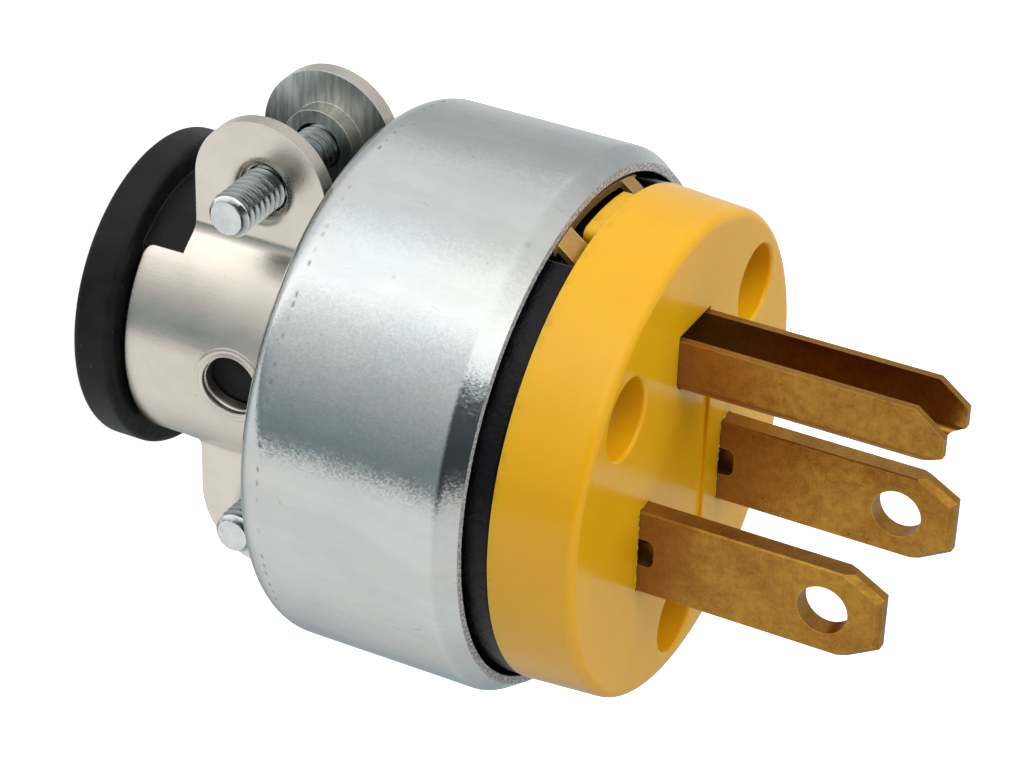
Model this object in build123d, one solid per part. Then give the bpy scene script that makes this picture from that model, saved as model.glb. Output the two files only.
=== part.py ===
from build123d import *
import math
import os

# Armoured grounding plug with straight blades, in millimetres.
# It stands on the rubber end of its cord grip with the blades up: Z runs along the plug,
# Y points to the ground blade and X from the neutral blade to the line blade.

# Clearances
slide_gap = 0.05            # between pieces that slide together
thread_gap = 0.03           # between a screw and the hole it is threaded into
loose_gap = 0.2             # round screws and straps that pass through freely

# Heights, stacked from the floor
flange_height = 3.0         # rubber flange that the plug stands on
clamp_lead = 0.5            # flange to the clamp's back edge
tube_lead = 2.9             # clamp tube behind the ears
ear_width = 10.2            # along Z
ear_to_casing = 0.9
casing_length = 16.5
liner_reveal = 1.65         # black liner seen between the casing and the body
body_height = 5.85

# Moulded face body
body_radius = 17.36         # at the back edge
body_draft = 0.36           # the front edge is this much smaller
body_edge_round = 0.7
recess_radius = 2.75        # round pockets for the assembly screw heads
recess_depth = 4.2
recess_round = 0.25         # moulded edge of a pocket
boss_radius = 2.5           # tubes behind the face that the assembly screws pass through
boss_to_liner = 0.6
barrier_wall = 1.8          # walls that part the three terminals
barrier_height = 11.5
barrier_to_liner = 0.5
panel_width = 7.9           # shallow bare panel between the flat blades
panel_length = 10.5
panel_depth = 0.25
panel_x = -0.55
panel_y = -1.85
panel_corner = 2.0          # cut corner of the panel
land_angle = 22.0           # raised land on the back edge, between the strap legs
land_height = 1.05
land_width = 2.4
land_inset = 0.25
land_round = 0.6

# Flat blades
blade_spacing = 12.7
blade_y = -3.48
blade_width = 6.35
blade_thickness = 1.5
blade_reach = 17.15         # tip above the face
blade_edge_break = 0.1
tip_length = 2.15
tip_drop = 1.24
tip_bevel = 0.4
blade_hole_radius = 1.75
blade_hole_reach = 13.15
notch_width = 2.1           # punched stop at the face
notch_reach = 1.15
notch_depth = 1.2           # below the face
notch_sink = 1.05           # into the blade
notch_round = 0.55
terminal_width = 9.5        # blade behind the body, wider so that it can't pull out
terminal_length = 10.5
terminal_screw_drop = 5.5   # terminal screw below the body

# Ground blade, a strip folded to a channel that opens outwards
ground_spacing = 11.65      # from the line of the flat blades
ground_width = 4.75
ground_height = 4.05
ground_wall = 0.55
ground_bend = 1.1
ground_reach = 18.45
ground_tip_length = 2.1
ground_tip_drop = 1.6
ground_tip_rise = 1.0
ground_slot_spare = 0.3     # spare room in the body above the open side

# Ground strap, which joins the ground blade to the casing
strap_thickness = 0.5
strap_leg_width = 1.8
strap_leg_spacing = 9.1
strap_band_height = 2.4
strap_band_angle = 40.0
strap_bend = 0.4
strap_lean = 1.2            # legs lean in from the band

# Insulating liner
liner_wall = 0.8
bead_inset = 0.06           # the bead is this much smaller than the body
bead_height = 2.45
bead_round = 0.25
window_angle = 44.0         # cut-out for the strap
window_drop = 2.75
window_sill = 1.35
window_wall = 0.3
liner_floor_gap = 1.5       # room for the clamp hooks behind the liner's floor
liner_edge = 0.5

# Drawn steel casing
casing_wall = 0.9
rim_gap = 0.4               # liner bead to the drawn-in rim
rim_turn = 0.6              # rim inside the casing wall
rim_draw = 0.9              # rim's outer edge inside the casing
rim_length = 3.0            # length over which the rim is drawn in
casing_back_round = 2.2
collar_wall = 0.55          # drawn collars that the assembly screws thread into
collar_length = 1.1

# Cord clamp, two like stamped halves
opening_web = 0.19          # steel left between the casing's opening and the screw collars
clamp_wall = 1.2
clamp_rise = 1.4            # the loose clamp sits this far off the plug's axis
ear_gap = 7.8               # between the ears of the two halves
ear_screw_reach = 2.65      # clamp screw beyond the tube
tube_corner = 0.6
tube_depth = 3.2            # half tube beyond its straight edges
bend_round = 1.4
side_hole_radius = 2.2
side_hole_rise = 0.4        # above the middle of the ears
drawn_collar_radius = 2.75
drawn_collar_height = 1.4
drawn_lead = 1.15
neck_width = 8.0            # tongue through the back of the casing
hook_reach = 2.8
hook_wall = 1.2

# Screws
clamp_screw_radius = 1.58
clamp_screw_proud = 4.3
clamp_head_radius = 3.0
clamp_head_height = 2.0
assembly_screw_radius = 1.42
assembly_screw_proud = 1.0
assembly_head_radius = 2.3
assembly_head_height = 1.7
terminal_screw_radius = 2.05
terminal_screw_tip = 2.2    # past the blade
terminal_head_radius = 3.4
terminal_head_height = 2.0
ground_screw_tip = 1.5
slot_width = 0.9            # driver slot in each head
head_skirt = 0.7            # straight side of a head below its crown
screw_tip_chamfer = 0.4

# Rubber cord bushing
flange_lip = 1.3            # flange beyond the clamp tube
flange_round = 0.5
bushing_gap = 0.1
lug_drop = 0.35             # lugs between the clamp halves stay this much below the tube
bushing_wall = 2.7
bushing_lead = 0.8
bushing_spare = 2.0         # bushing past the clamp hooks

# Worked-out places
clamp_back = flange_height + clamp_lead
ear_back = clamp_back + tube_lead
ear_z = ear_back + ear_width / 2
casing_back = ear_back + ear_width + ear_to_casing
casing_floor = casing_back + casing_wall
rim_z = casing_back + casing_length
body_back = rim_z + liner_reveal
face_z = body_back + body_height
bead_radius = body_radius - bead_inset
rim_radius = bead_radius + rim_gap
casing_inside = rim_radius + rim_turn
casing_radius = casing_inside + casing_wall
strap_outside = rim_radius - loose_gap
strap_inside = strap_outside - strap_thickness
liner_radius = strap_inside - slide_gap * 2
liner_inside = liner_radius - liner_wall
liner_floor = casing_floor + liner_floor_gap
liner_floor_top = liner_floor + liner_wall
screw_circle = liner_inside - boss_to_liner - boss_radius
screw_angles = (40.0, 140.0, 270.0)
screw_clearance = assembly_screw_radius + loose_gap
ground_y = blade_y + ground_spacing
ground_bottom = ground_y - ground_height / 2
plate_outside = ground_bottom + ground_wall
terminal_z = body_back - terminal_screw_drop
collar_radius = assembly_screw_radius + collar_wall
opening_radius = screw_circle - collar_radius - opening_web
neck_corner_y = neck_width / 2 + clamp_rise
neck_corner_x = math.sqrt((opening_radius - loose_gap) ** 2 - neck_corner_y ** 2)
clamp_radius = math.hypot(neck_corner_x, neck_width / 2)
clamp_inside = clamp_radius - clamp_wall
tube_edge = clamp_radius - tube_depth
ear_screw_y = clamp_radius + ear_screw_reach
flange_radius = clamp_radius + flange_lip
hook_top = casing_floor + slide_gap + hook_wall
bushing_radius = clamp_inside - bushing_gap
bushing_bore_radius = bushing_radius - bushing_wall


def turned(*points):
    """Solid of revolution about Z from (radius, height) points."""
    outline = Plane.XZ * make_face(Polyline(*points, close=True))
    return revolve(outline, Axis.Z)


def disc(radius, low, high):
    """Upright round solid between two heights."""
    return Pos(0, 0, (low + high) / 2) * Cylinder(radius, high - low)


def block(low, high):
    """Box between two corners."""
    size = [b - a for a, b in zip(low, high)]
    middle = [(a + b) / 2 for a, b in zip(low, high)]
    return Pos(*middle) * Box(*size)


def wedge(angle, low, high):
    """Sector about the +Y axis that reaches past the casing."""
    reach = casing_radius * 2
    half = math.radians(angle / 2)
    corner = (reach * math.sin(half), reach * math.cos(half))
    outline = make_face(Polyline((0, 0), (-corner[0], corner[1]), corner, close=True))
    return Pos(0, 0, low) * extrude(outline, high - low)


def screw_places():
    """Plan positions of the assembly screws."""
    for angle in screw_angles:
        turn = math.radians(angle)
        yield screw_circle * math.cos(turn), screw_circle * math.sin(turn)


def slotted_screw(radius, length, head_radius, head_height):
    """Screw along +Z from under its head at the origin; the head lies below."""
    crown = head_radius - (head_height - head_skirt)
    head = turned((0, -head_height), (crown, -head_height), (head_radius, -head_skirt),
                  (head_radius, 0), (0, 0))
    tip = length - screw_tip_chamfer
    shank = turned((0, 0), (radius, 0), (radius, tip), (radius - screw_tip_chamfer, length), (0, length))
    driver = block((-head_radius, -slot_width / 2, -head_height),
                   (head_radius, slot_width / 2, -head_skirt))
    return head + shank - driver


def flat_blade(side):
    """Flat blade: chamfered and bevelled tip, hole, punched stop and wide terminal end."""
    half = blade_width / 2
    tip = face_z + blade_reach
    low = body_back - terminal_length
    wide = terminal_width / 2
    outline = Polyline((-wide, low), (wide, low), (wide, body_back), (half, body_back),
                       (half, tip - tip_length), (half - tip_drop, tip), (tip_drop - half, tip),
                       (-half, tip - tip_length), (-half, body_back), (-wide, body_back), close=True)
    blade = extrude(Plane.YZ * make_face(outline), blade_thickness / 2, both=True)
    sides = blade.edges().filter_by(Axis.Z).filter_by(lambda edge: edge.center().Z > body_back)
    blade = chamfer(sides, blade_edge_break)
    tip_edges = blade.edges().filter_by(lambda edge: edge.center().Z > tip - tip_length / 2 - slide_gap)
    blade = chamfer(tip_edges.filter_by(Axis.X, reverse=True), tip_bevel)
    across = Rot(0, 90, 0)
    blade -= Pos(0, 0, face_z + blade_hole_reach) * across * Cylinder(blade_hole_radius, terminal_width)
    notch = RectangleRounded(notch_width, notch_depth + notch_reach, notch_round)
    notch_z = face_z + (notch_reach - notch_depth) / 2
    outer_face = Pos(-blade_thickness / 2, 0, 0)
    blade -= outer_face * extrude(Plane.YZ * Pos(0, notch_z) * notch, notch_sink, both=True)
    blade -= Pos(0, 0, terminal_z) * across * Cylinder(terminal_screw_radius + thread_gap, terminal_width)
    return Pos(side * blade_spacing / 2, blade_y, 0) * blade


def terminal_screw(side):
    """Binding screw through a flat blade, its head towards the casing."""
    length = blade_thickness + terminal_screw_tip
    screw = slotted_screw(terminal_screw_radius, length, terminal_head_radius, terminal_head_height)
    seat = side * (blade_spacing + blade_thickness) / 2
    return Pos(seat, blade_y, terminal_z) * Rot(0, -90 * side, 0) * screw


def round_bottomed(half, low, high, bend):
    """Upright rectangle in plan whose two lower corners are rounded."""
    outline = Pos(0, (low + high) / 2) * Rectangle(2 * half, high - low)
    return fillet(outline.vertices().group_by(Axis.Y)[0], bend)


def ground_blade():
    """Folded ground blade with a sloped tip and a flat terminal end."""
    tip = face_z + ground_reach
    high = ground_bottom + ground_height
    outer = round_bottomed(ground_width / 2, ground_bottom, high, ground_bend)
    inner = round_bottomed(ground_width / 2 - ground_wall, plate_outside, high, ground_bend - ground_wall)
    prong = Pos(0, 0, body_back) * extrude(outer - inner, tip - body_back)
    shoulder = tip - ground_tip_length
    slope = Polyline((ground_bottom, body_back), (ground_bottom, shoulder),
                     (ground_bottom + ground_tip_rise, tip), (high - ground_tip_drop, tip),
                     (high, shoulder), (high, body_back), close=True)
    prong &= extrude(Plane.YZ * make_face(slope), ground_width, both=True)
    wide = terminal_width / 2
    plate = block((-wide, ground_bottom, body_back - terminal_length), (wide, plate_outside, body_back))
    hole = Cylinder(terminal_screw_radius + thread_gap, terminal_width)
    plate -= Pos(0, ground_bottom, terminal_z) * Rot(90, 0, 0) * hole
    return prong + plate


def ground_screw():
    """Ground binding screw; its head holds the strap against the ground blade."""
    length = strap_thickness + ground_wall + ground_screw_tip
    screw = slotted_screw(terminal_screw_radius, length, terminal_head_radius, terminal_head_height)
    return Pos(0, plate_outside + strap_thickness, terminal_z) * Rot(90, 0, 0) * screw


def ground_strap():
    """Plate under the ground screw, two legs past the body, and a band inside the casing rim."""
    leg_top = body_back - 2 * slide_gap
    leg_low = leg_top - strap_thickness
    wide = (strap_leg_spacing + strap_leg_width) / 2
    plate = block((-wide, plate_outside, body_back - terminal_length),
                  (wide, plate_outside + strap_thickness, leg_top))
    hole = Cylinder(terminal_screw_radius + loose_gap, terminal_width)
    plate -= Pos(0, plate_outside, terminal_z) * Rot(90, 0, 0) * hole
    middle = strap_leg_spacing / 2 - strap_leg_width / 2
    plate -= block((-middle, plate_outside - slide_gap, leg_low - land_height),
                   (middle, plate_outside + strap_thickness + slide_gap, leg_top + slide_gap))
    band_low = rim_z - strap_band_height
    band_high = rim_z - slide_gap
    step_low = band_high - strap_thickness
    leg_outside = strap_outside - strap_lean
    leg_inside = leg_outside - strap_thickness
    upright = turned((strap_inside, step_low), (strap_outside, step_low), (strap_outside, band_high),
                     (leg_outside, leg_top), (leg_inside, leg_top), (strap_inside, band_high))
    band = disc(strap_outside, band_low, band_high) - disc(strap_inside, band_low, band_high)
    strap = plate + (band & wedge(strap_band_angle, band_low, band_high))
    for side in (-1, 1):
        low_x, high_x = sorted((side * middle, side * wide))
        leg = upright + disc(leg_outside, leg_low, leg_top)
        leg &= block((low_x, plate_outside, step_low), (high_x, casing_radius, leg_top))
        crest = leg.edges().filter_by(GeomType.CIRCLE).filter_by(lambda e: e.center().Z > leg_top - slide_gap)
        strap += fillet(crest.sort_by(Axis.Y)[-1:], strap_bend)
    return strap


def face_body():
    """Moulded body: drafted disc, screw pockets, blade slots, terminal walls and bosses."""
    front_radius = body_radius - body_draft
    body = turned((0, body_back), (body_radius, body_back), (front_radius, face_z), (0, face_z))
    body = fillet(body.edges().filter_by(GeomType.CIRCLE).group_by(Axis.Z)[-1], body_edge_round)
    room = disc(liner_inside - barrier_to_liner, body_back - barrier_height, body_back)
    barrier_low = body_back - barrier_height
    cross_high = ground_bottom - ground_screw_tip - loose_gap
    cross_low = cross_high - barrier_wall
    spine = block((-barrier_wall / 2, -casing_radius, barrier_low), (barrier_wall / 2, cross_low, body_back))
    cross = block((-casing_radius, cross_low, barrier_low), (casing_radius, cross_high, body_back))
    body += room & (spine + cross)
    for x, y in screw_places():
        body += Pos(x, y, 0) * disc(boss_radius, liner_floor_top, body_back)
    body += back_land()
    for x, y in screw_places():
        body -= Pos(x, y, 0) * pocket()
        body -= Pos(x, y, 0) * disc(screw_clearance, casing_back, face_z)
    for side in (-1, 1):
        half_x = blade_thickness / 2 + slide_gap
        half_y = blade_width / 2 + slide_gap
        slot = block((-half_x, -half_y, body_back - body_height), (half_x, half_y, face_z + body_height))
        body -= Pos(side * blade_spacing / 2, blade_y, 0) * slot
    slot_high = ground_bottom + ground_height + ground_slot_spare
    slot_low = ground_bottom - slide_gap
    ground_slot = round_bottomed(ground_width / 2 + slide_gap, slot_low, slot_high, ground_bend)
    body -= Pos(0, 0, body_back - body_height) * extrude(ground_slot, 3 * body_height)
    panel = Pos(panel_x, panel_y) * Rectangle(panel_width, panel_length)
    corner = panel.vertices().group_by(Axis.Y)[-1].sort_by(Axis.X)[:1]
    panel = chamfer(corner, panel_corner)
    return body - Pos(0, 0, face_z - panel_depth) * extrude(panel, body_height)


def pocket():
    """Cutter for a screw pocket, flared by its rounded edge at the face."""
    low = face_z - recess_depth
    lip = JernArc((recess_radius, face_z - recess_round), (0, 1), recess_round, -90)
    lines = Polyline(lip @ 1, lip @ 1 + (0, recess_round), (0, face_z + recess_round), (0, low),
                     (recess_radius, low), (recess_radius, face_z - recess_round))
    return revolve(Plane.XZ * make_face(lip + lines), Axis.Z)


def back_land():
    """Raised land on the body's back edge that stands between the strap legs."""
    outer = body_radius - land_inset
    low = body_back - land_height
    ring = disc(outer, low, body_back) - disc(outer - land_width, low, body_back)
    land = ring & wedge(land_angle, low, body_back)
    corners = land.edges().filter_by(Axis.Z)
    middle = outer - land_width / 2
    ends = corners.filter_by(lambda edge: math.hypot(edge.center().X, edge.center().Y) > middle)
    return fillet(ends, land_round)


def insulating_liner():
    """Black cup inside the casing, with a bead under the body and a window for the strap."""
    bead_low = body_back - bead_height + bead_radius - liner_radius
    liner = turned((opening_radius, liner_floor), (liner_inside, liner_floor), (liner_inside, casing_floor),
                   (liner_radius - liner_edge, casing_floor), (liner_radius, casing_floor + liner_edge),
                   (liner_radius, body_back - bead_height), (bead_radius, bead_low),
                   (bead_radius, body_back), (liner_inside, body_back), (liner_inside, liner_floor_top),
                   (opening_radius, liner_floor_top))
    rims = liner.edges().filter_by(GeomType.CIRCLE)
    liner = fillet(rims.filter_by(lambda edge: edge.radius > bead_radius - slide_gap), bead_round)
    window_low = body_back - window_drop
    shallow = wedge(window_angle, window_low, body_back + slide_gap)
    liner -= shallow - disc(liner_inside + window_wall, window_low, body_back + slide_gap)
    liner -= wedge(window_angle, body_back - window_sill, body_back + slide_gap)
    for x, y in screw_places():
        liner -= Pos(x, y, 0) * disc(screw_clearance, casing_floor, liner_floor_top + slide_gap)
    return liner


def steel_casing():
    """Drawn cup with a rounded back, a drawn-in rim and collars for the assembly screws."""
    collar_top = casing_floor + collar_length
    outside = drawn_in(casing_radius, casing_radius - rim_draw, casing_back)
    outside = fillet(outside.edges().filter_by(GeomType.CIRCLE).group_by(Axis.Z)[0], casing_back_round)
    inside = drawn_in(casing_inside, rim_radius, casing_floor)
    floor_edge = inside.edges().filter_by(GeomType.CIRCLE).group_by(Axis.Z)[0]
    inside = chamfer(floor_edge, inside_corner(casing_back_round))
    casing = outside - inside - disc(rim_radius, rim_z - slide_gap, rim_z + slide_gap)
    for x, y in screw_places():
        casing += Pos(x, y, 0) * disc(collar_radius, casing_back + slide_gap, collar_top)
    casing -= disc(opening_radius, casing_back - slide_gap, collar_top + slide_gap)
    for x, y in screw_places():
        casing -= Pos(x, y, 0) * disc(assembly_screw_radius + thread_gap, casing_back - slide_gap, rim_z)
    return casing


def drawn_in(radius, end_radius, low):
    """Turned solid from a height up to the rim, its side curving in over the rim's length."""
    bend = rim_z - rim_length
    side = TangentArc((radius, bend), (end_radius, rim_z), tangent=(0, 1))
    rest = Polyline((end_radius, rim_z), (0, rim_z), (0, low), (radius, low), (radius, bend))
    return revolve(Plane.XZ * make_face(rest + side), Axis.Z)


def inside_corner(outside_round):
    """Chamfer inside a rounded corner of the casing that leaves the full wall on the diagonal."""
    return (2 - math.sqrt(2)) * (outside_round - casing_wall)


def clamp_half(hole_radius):
    """Stamped half on the -X side: half tube, two ears, side hole, tongue and hook."""
    ear_inside = -ear_gap / 2
    ear_outside = ear_inside - clamp_wall
    ear_top = ear_back + ear_width
    tube_top = casing_back - loose_gap
    shell = disc(clamp_radius, clamp_back, hook_top) - disc(clamp_inside, clamp_back, hook_top)
    tube = shell & block((-casing_radius, -casing_radius, clamp_back), (-tube_edge, casing_radius, tube_top))
    tube = fillet(tube.edges().filter_by(Axis.Y).group_by(Axis.Z)[0], tube_corner)
    tongue = shell & block((-casing_radius, -neck_width / 2, clamp_back),
                           (-tube_edge, neck_width / 2, hook_top))
    root = shell & block((-casing_radius, -casing_radius, ear_back), (ear_inside, casing_radius, ear_top))
    plate = extrude(Plane.YZ * Pos(0, ear_z) * SlotCenterToCenter(2 * ear_screw_y, ear_width), clamp_wall)
    plate = Pos(ear_outside, 0, 0) * plate - disc(clamp_inside, ear_back, ear_top)
    half = root + plate
    bends = half.edges().filter_by(Axis.Z).filter_by(lambda edge: edge.length > ear_width / 2)
    outer_bends = bends.filter_by(lambda edge: abs(edge.center().X - ear_outside) < slide_gap)
    half = fillet(outer_bends, bend_round)
    half += tube + tongue
    half += hook()
    for side in (-1, 1):
        half += drawn_collar(ear_inside, side)
    for side in (-1, 1):
        half -= drawn_hole(ear_outside, side, hole_radius)
    side_hole = Rot(0, 90, 0) * Cylinder(side_hole_radius, clamp_radius)
    half -= Pos(-clamp_radius, 0, ear_z + side_hole_rise) * side_hole
    return half


def hook():
    """Turned-out end of the tongue that catches inside the casing."""
    low = hook_top - hook_wall
    reach = clamp_radius + hook_reach
    plate = disc(reach, low, hook_top) - disc(clamp_inside, low, hook_top)
    return plate & block((-casing_radius, -neck_width / 2, low), (-tube_edge, neck_width / 2, hook_top))


def drawn_collar(ear_inside, side):
    """Collar drawn inwards round a screw hole in an ear."""
    collar = Rot(0, 90, 0) * Cylinder(drawn_collar_radius, drawn_collar_height)
    return Pos(ear_inside + drawn_collar_height / 2, side * ear_screw_y, ear_z) * collar


def drawn_hole(ear_outside, side, hole_radius):
    """Screw hole with the rounded mouth that drawing leaves on the ear's outer face."""
    depth = clamp_wall + drawn_collar_height
    lead = drawn_lead
    rounding = JernArc((hole_radius, lead), (0, -1), lead, 90)
    mouth = rounding @ 1
    lines = Polyline(mouth, mouth - (0, lead), (0, -lead), (0, depth + lead), (hole_radius, depth + lead),
                     (hole_radius, lead))
    funnel = revolve(Plane.XZ * make_face(rounding + lines), Axis.Z)
    return Pos(ear_outside, side * ear_screw_y, ear_z) * Rot(0, 90, 0) * funnel


def clamp_screw(side):
    """Clamp screw along X, its head outside the far ear and its tip proud of the near one."""
    seat = ear_gap / 2 + clamp_wall
    length = 2 * seat + clamp_screw_proud
    screw = slotted_screw(clamp_screw_radius, length, clamp_head_radius, clamp_head_height)
    return Pos(seat, clamp_rise + side * ear_screw_y, ear_z) * Rot(0, -90, 0) * screw


def assembly_screw(x, y):
    """Long screw from its pocket in the face to the collar at the back of the casing."""
    seat = face_z - recess_depth
    length = seat - casing_back + assembly_screw_proud
    screw = slotted_screw(assembly_screw_radius, length, assembly_head_radius, assembly_head_height)
    return Pos(x, y, seat) * Rot(180, 0, 0) * screw


def cord_bushing():
    """Rubber sleeve with a round flange, gripped by the clamp halves."""
    top = hook_top + bushing_spare
    bushing = turned((bushing_bore_radius + bushing_lead, 0), (flange_radius, 0),
                     (flange_radius, flange_height), (bushing_radius, flange_height),
                     (bushing_radius, top), (bushing_bore_radius, top), (bushing_bore_radius, bushing_lead))
    rims = bushing.edges().filter_by(GeomType.CIRCLE)
    bushing = fillet(rims.filter_by(lambda edge: edge.radius > flange_radius - slide_gap), flange_round)
    return bushing + lugs()


def lugs():
    """Two lugs on the bushing that stand between the clamp halves and keep it from turning."""
    top = ear_back - loose_gap
    half_width = tube_edge - loose_gap
    collar = disc(clamp_radius - lug_drop, flange_height - slide_gap, top)
    collar -= disc(bushing_radius - slide_gap, flange_height - slide_gap, top)
    return collar & block((-half_width, -casing_radius, 0), (half_width, casing_radius, top))


def raise_clamp(solid):
    """Place a clamp piece on the loose clamp's own axis."""
    return Pos(0, clamp_rise, 0) * solid


def all_pieces():
    """Every piece of the plug by its node name."""
    pieces = {
        "steel_casing": steel_casing(),
        "insulating_liner": insulating_liner(),
        "face_body": face_body(),
        "neutral_blade": flat_blade(-1),
        "line_blade": flat_blade(1),
        "ground_blade": ground_blade(),
        "neutral_terminal_screw": terminal_screw(-1),
        "line_terminal_screw": terminal_screw(1),
        "ground_terminal_screw": ground_screw(),
        "ground_strap": ground_strap(),
        "near_clamp_half": raise_clamp(clamp_half(clamp_screw_radius + thread_gap)),
        "far_clamp_half": raise_clamp(Rot(0, 0, 180) * clamp_half(clamp_screw_radius + loose_gap)),
        "upper_clamp_screw": clamp_screw(1),
        "lower_clamp_screw": clamp_screw(-1),
        "cord_bushing": raise_clamp(cord_bushing()),
    }
    names = ("right_assembly_screw", "left_assembly_screw", "bottom_assembly_screw")
    for name, (x, y) in zip(names, screw_places()):
        pieces[name] = assembly_screw(x, y)
    return pieces


os.makedirs("parts", exist_ok=True)
for name, piece in all_pieces().items():
    export_step(piece, f"parts/{name}.step")
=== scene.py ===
"""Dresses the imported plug: drawn casing, threaded screws, hole lips, moulding flash, finishes and studio."""

import math
import random

import bmesh
import bpy
from bpy.props import FloatProperty, FloatVectorProperty, IntProperty, PointerProperty
from mathutils import Euler, Matrix, Vector, noise


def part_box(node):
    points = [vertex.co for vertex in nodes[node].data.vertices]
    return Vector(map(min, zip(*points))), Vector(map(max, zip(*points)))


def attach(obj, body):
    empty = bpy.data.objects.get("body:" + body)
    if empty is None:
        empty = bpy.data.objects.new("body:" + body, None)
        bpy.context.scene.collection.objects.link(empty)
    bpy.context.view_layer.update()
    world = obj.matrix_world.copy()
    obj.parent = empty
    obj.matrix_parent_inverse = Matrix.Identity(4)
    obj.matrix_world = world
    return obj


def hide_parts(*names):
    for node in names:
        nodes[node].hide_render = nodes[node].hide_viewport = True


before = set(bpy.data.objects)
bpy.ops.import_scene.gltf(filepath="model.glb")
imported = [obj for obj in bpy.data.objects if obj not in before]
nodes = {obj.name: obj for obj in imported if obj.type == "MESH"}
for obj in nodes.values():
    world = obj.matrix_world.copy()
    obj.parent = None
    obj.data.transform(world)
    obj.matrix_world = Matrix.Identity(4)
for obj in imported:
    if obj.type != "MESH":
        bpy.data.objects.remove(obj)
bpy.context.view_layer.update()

bl_info = {
    "name": "Armoured plug",
    "version": (1, 0, 0),
    "blender": (4, 5, 0),
    "location": "View3D > Sidebar > Plug",
    "description": "Builds the looks of an armoured grounding plug on its packed solids",
    "category": "Object",
}

MM = 0.001
FULL_TURN = 2 * math.pi
UNITS_PER_MM = 1000.0
CLAMP_SCREWS = ("upper_clamp_screw", "lower_clamp_screw")
ASSEMBLY_SCREWS = ("right_assembly_screw", "left_assembly_screw", "bottom_assembly_screw")
# Where a thread's crest ends, its root starts and its root ends, as shares of the pitch
CREST_END, ROOT_START, ROOT_END = 0.14, 0.46, 0.68
# Level of the room round the plug, by direction in degrees
ROOM_LEVELS = (
    (0, 0.58), (20, 0.55), (36, 0.62), (51, 0.93), (84, 1.03), (101, 1.5), (120, 1.62), (135, 1.02),
    (151, 0.64), (168, 0.42), (189, 0.22), (194, 0.96), (251, 0.88), (268, 0.74), (284, 0.6), (302, 0.38),
    (322, 0.5), (346, 0.72), (360, 0.58),
)
# The same higher up, where the flag is darker
UPPER_LEVELS = (
    (0, 0.58), (20, 0.55), (36, 0.62), (51, 0.8), (84, 1.0), (101, 1.4), (120, 1.62), (138, 1.5),
    (145, 0.08), (190, 0.05), (196, 0.8), (251, 0.82), (268, 0.68), (284, 0.55), (302, 0.38), (322, 0.5),
    (346, 0.72), (360, 0.58),
)
BRIGHTEST = max(level for _, level in ROOM_LEVELS)
# Levels between which the room's dark parts turn cool, and their tint
COOL_FROM, COOL_TO = 0.62, 0.3
COOL_TINT = (0.82, 1.04, 1.12)
# Z of a direction, between which the walls turn into the upper band and that into the ceiling
UPPER_FROM, UPPER_TO = -0.2, 0.2
CEILING_FROM, CEILING_TO = 0.8, 0.95
# Heights in millimetres between which blades tarnish, the body turns grimy and the clamp turns dull
FOOT_FROM, FOOT_TO = 47.5, 41.5
GRIME_FROM, GRIME_TO = 36.4, 35.7
DULL_FROM, DULL_TO = 7.5, 14.0
# Millimetres from the plug's middle plane between which the clamp's tube turns into its polished ears
EAR_FROM, EAR_TO = 6.4, 5.4
# Outward facing times distance from the middle plane, between which a face of the clamp counts as inner
# An inner face takes painted shade and a rougher surface
INNER_FROM, INNER_TO = -0.5, -2.5
# Lean of the zinc's crystals
SPANGLE_LEAN = 0.045
# Tint of the yellow's deeper clouds
DEEP_TINT = (0.97, 0.93, 0.8)
# Turn of each set of scratches and how it is stretched
SCRATCH_SETS = ((0.5, (0.16, 1.1, 0.1)), (-0.9, (1.2, 0.14, 0.12)))
# Crest of a side hole's lip as a share of its reach and height
LIP_CREST = 0.7
# The lip's sheet inside the hole, its step at the outer edge and the depth of its underside in the tube
LIP_SHEET, LIP_STEP, LIP_SUNK = 0.08 * MM, 0.01 * MM, 0.05 * MM
# Rings over the lip's bend and points in a ring
LIP_RINGS, LIP_POINTS = 8, 96
# Flash round a slot: seed, spacing of its points and depth of its foot in the face
FLASH_SEED, FLASH_SPACING, FLASH_SUNK = 12, 0.22 * MM, 0.02 * MM
# Least height, before squaring, and least width of the flash, as shares
FLASH_LOWEST, FLASH_THINNEST = 0.1, 0.7
# Places of the mix node's sockets for colours
MIX_FACTOR, MIX_FIRST, MIX_SECOND, MIX_RESULT = 0, 6, 7, 2
# Places of the coordinates in a point
X_AXIS, Z_AXIS = 0, 2


def millimetres(name, description, default):
    """Length that a user can change, with its default in millimetres."""
    return FloatProperty(name=name, description=description, default=default * MM, unit="LENGTH")


def paint(name, description, default):
    """Colour that a user can change."""
    return FloatVectorProperty(name=name, description=description, default=default, size=3, subtype="COLOR")


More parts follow.
